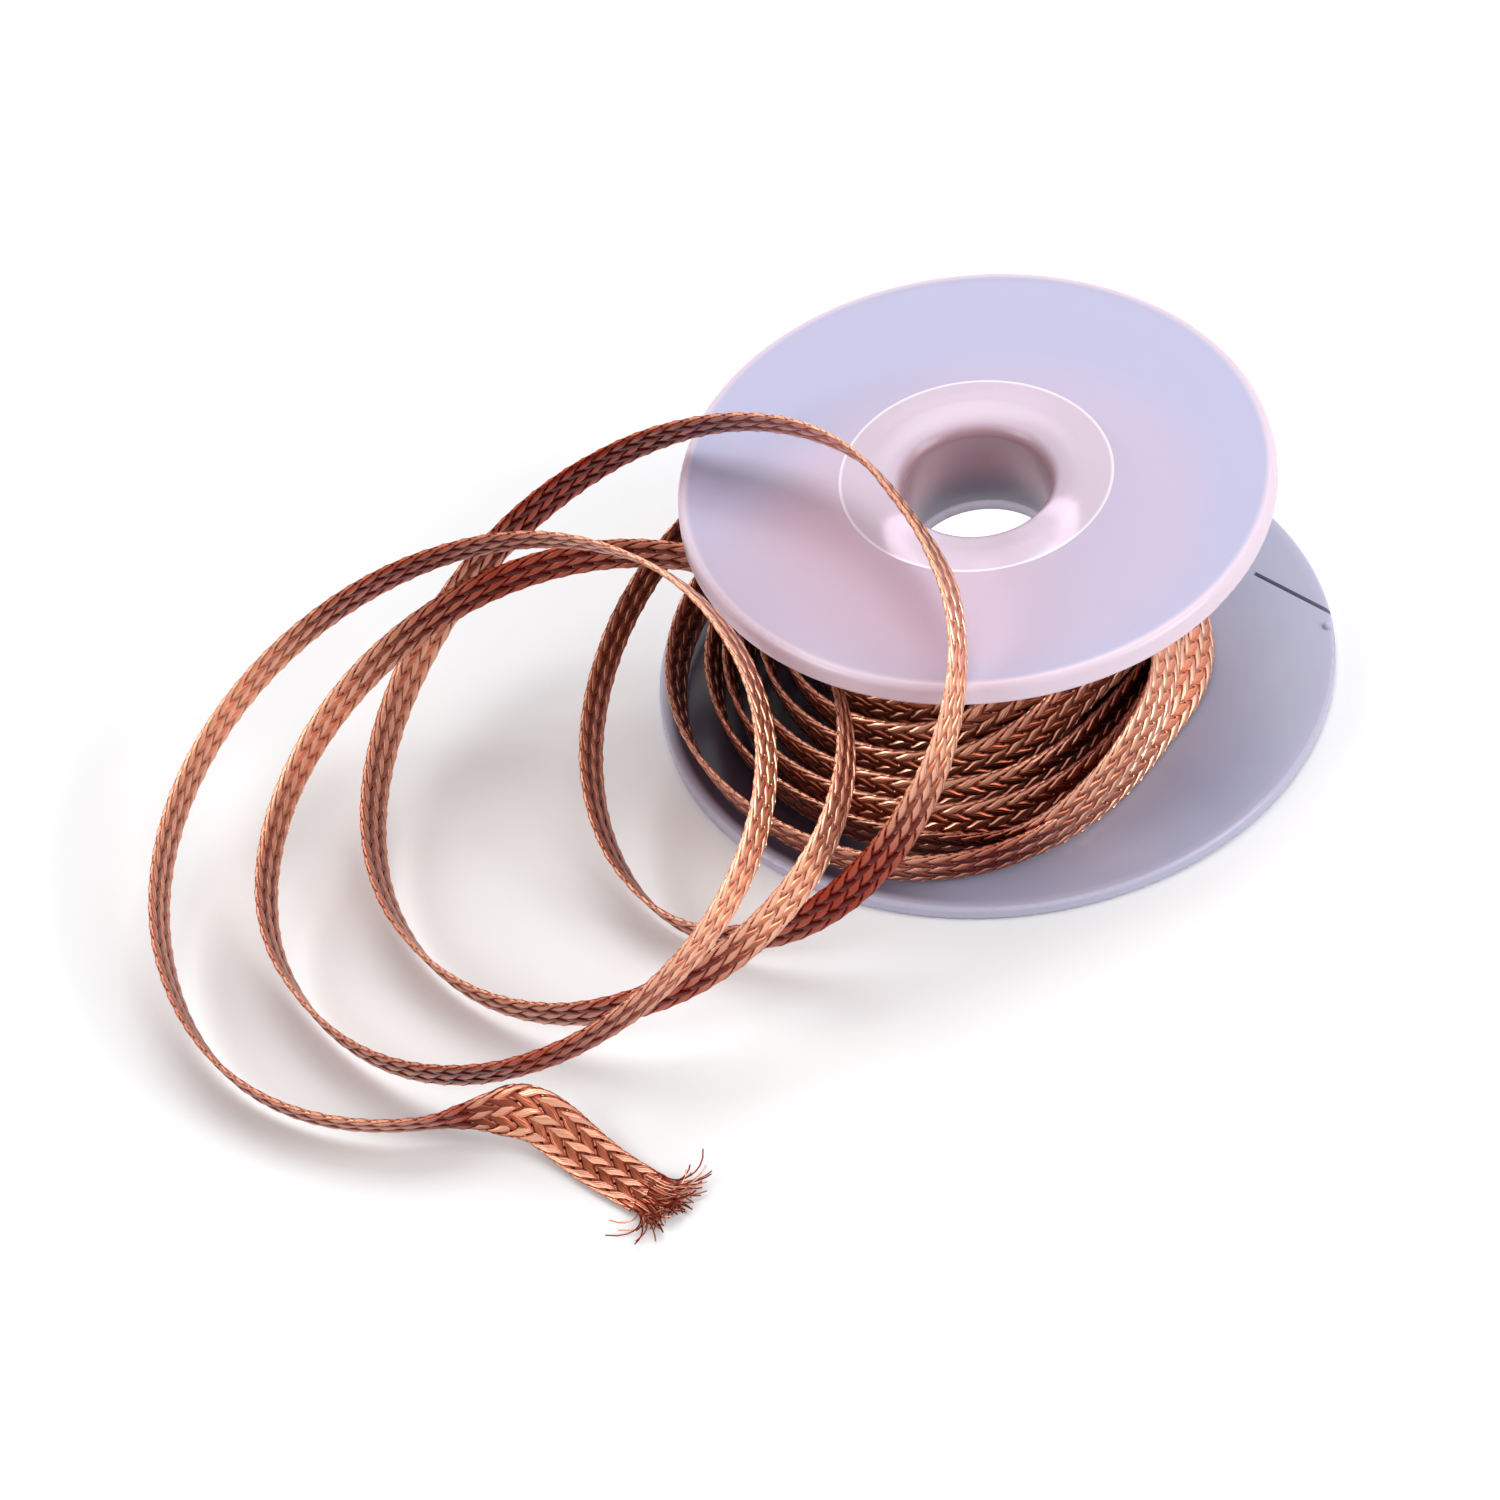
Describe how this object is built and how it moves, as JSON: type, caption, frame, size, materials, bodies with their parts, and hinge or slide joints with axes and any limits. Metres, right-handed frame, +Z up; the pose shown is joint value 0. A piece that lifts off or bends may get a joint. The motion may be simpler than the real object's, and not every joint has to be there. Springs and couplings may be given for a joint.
{
  "type": "wire spool",
  "caption": "Small two-flange plastic spool of flat copper desoldering braid, with slack outer turns and a long loose end that fans out in loops and ends frayed",
  "frame": {"origin": "centre of the bobbin's bottom face, on the axis of its bore", "axes": "+Z up along the bore, +X to the right as pictured, +Y away from the camera"},
  "size_m": [0.0759, 0.0657, 0.024],
  "materials": {
    "milky_plastic_base": "translucent milky plastic, smooth, faintly blue",
    "milky_plastic_hub": "translucent milky plastic, smooth",
    "milky_plastic_top": "translucent milky plastic, smooth, faint scratches",
    "copper_braid": "bright bare copper wires, braided flat",
    "copper_wire_ends": "bright bare copper wire ends"
  },
  "bodies": {
    "bobbin": {"lower_flange": "milky_plastic_base", "hub_sleeve": "milky_plastic_hub", "upper_flange": "milky_plastic_top"},
    "braid": {"winding_core": "copper_braid", "inner_turns": "copper_braid", "loosened_turns": "copper_braid", "braid_entry": "copper_braid", "braid_loops": "copper_braid", "braid_tail": "copper_braid", "frayed_bundle_01": "copper_wire_ends", "frayed_bundle_02": "copper_wire_ends", "frayed_bundle_03": "copper_wire_ends", "frayed_bundle_04": "copper_wire_ends", "frayed_bundle_05": "copper_wire_ends", "frayed_bundle_06": "copper_wire_ends", "frayed_bundle_07": "copper_wire_ends", "frayed_bundle_08": "copper_wire_ends", "frayed_bundle_09": "copper_wire_ends", "frayed_bundle_10": "copper_wire_ends", "frayed_bundle_11": "copper_wire_ends", "frayed_bundle_12": "copper_wire_ends", "frayed_bundle_13": "copper_wire_ends", "frayed_bundle_14": "copper_wire_ends", "frayed_bundle_15": "copper_wire_ends", "frayed_bundle_16": "copper_wire_ends"}
  },
  "joints": [
    {"name": "unwind", "type": "hinge", "parent": "bobbin", "child": "braid", "pos_m": [0, 0, 0.0085], "axis": [0, 0, 1], "continuous": true}
  ]
}
